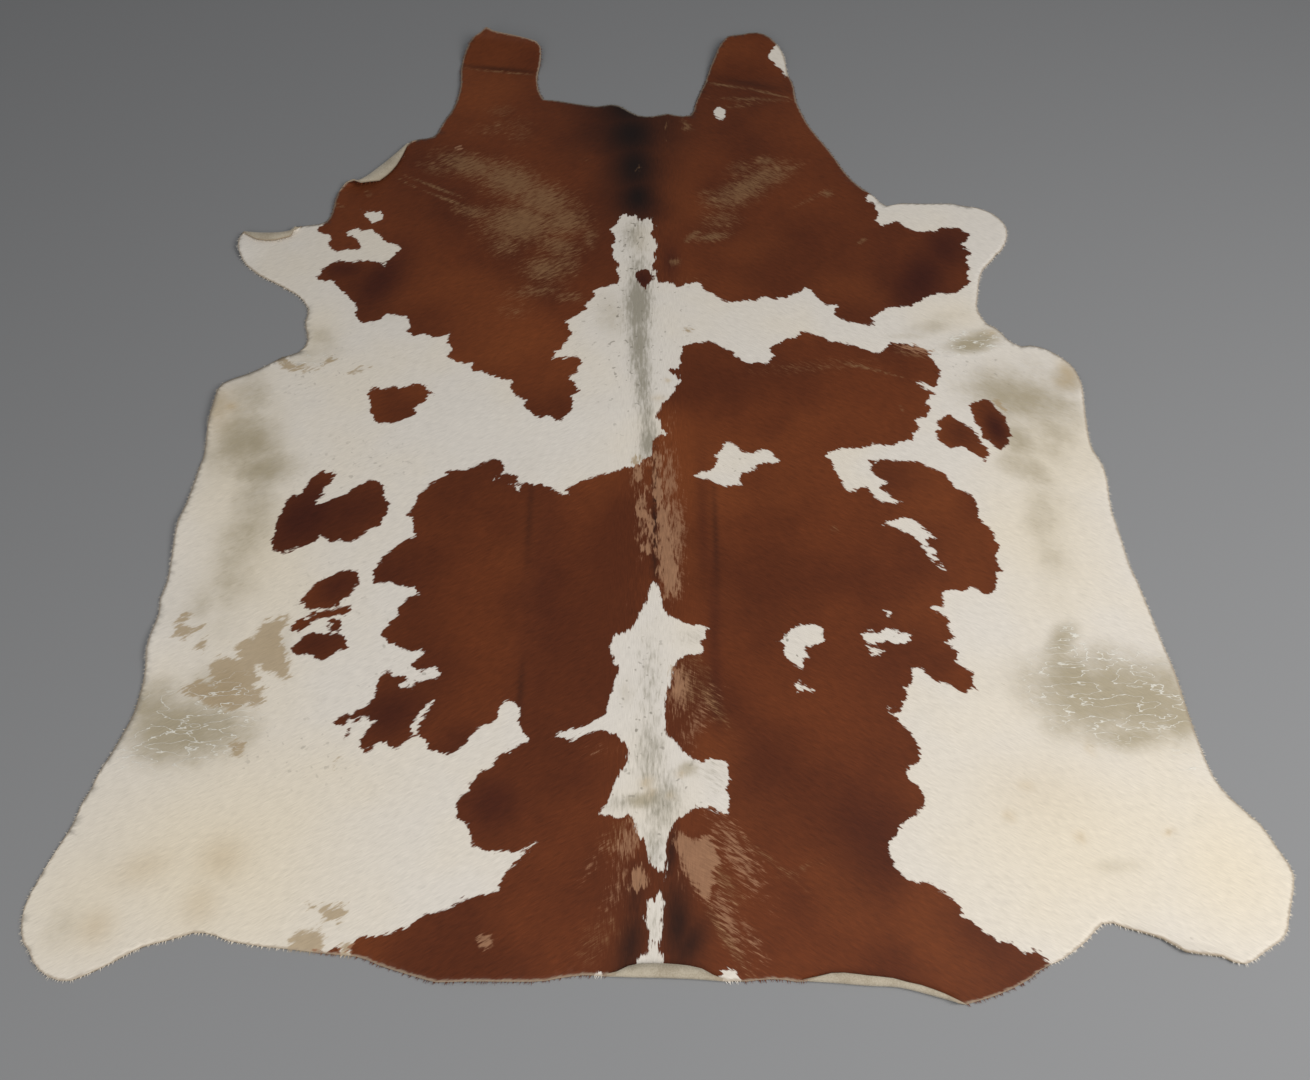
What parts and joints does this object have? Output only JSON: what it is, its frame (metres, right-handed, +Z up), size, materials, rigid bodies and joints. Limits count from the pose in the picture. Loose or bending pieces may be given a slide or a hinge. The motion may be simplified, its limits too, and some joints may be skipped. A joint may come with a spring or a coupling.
{
  "type": "animal hide",
  "caption": "Whole hair-on cowhide laid flat as a floor rug, with neck tabs, forelegs, flanks, hind legs and turned-over rims.",
  "frame": {"origin": "under the middle of the hide's bounding box, on the floor it lies on", "axes": "+Y towards the neck, +X to the right seen from above with the neck away, +Z up out of the coat"},
  "size_m": [1.9304, 2.2642, 0.0492],
  "materials": {
    "hide": "short hair coat over matt leather"
  },
  "bodies": {
    "root": {"hide": "hide"}
  },
  "joints": []
}
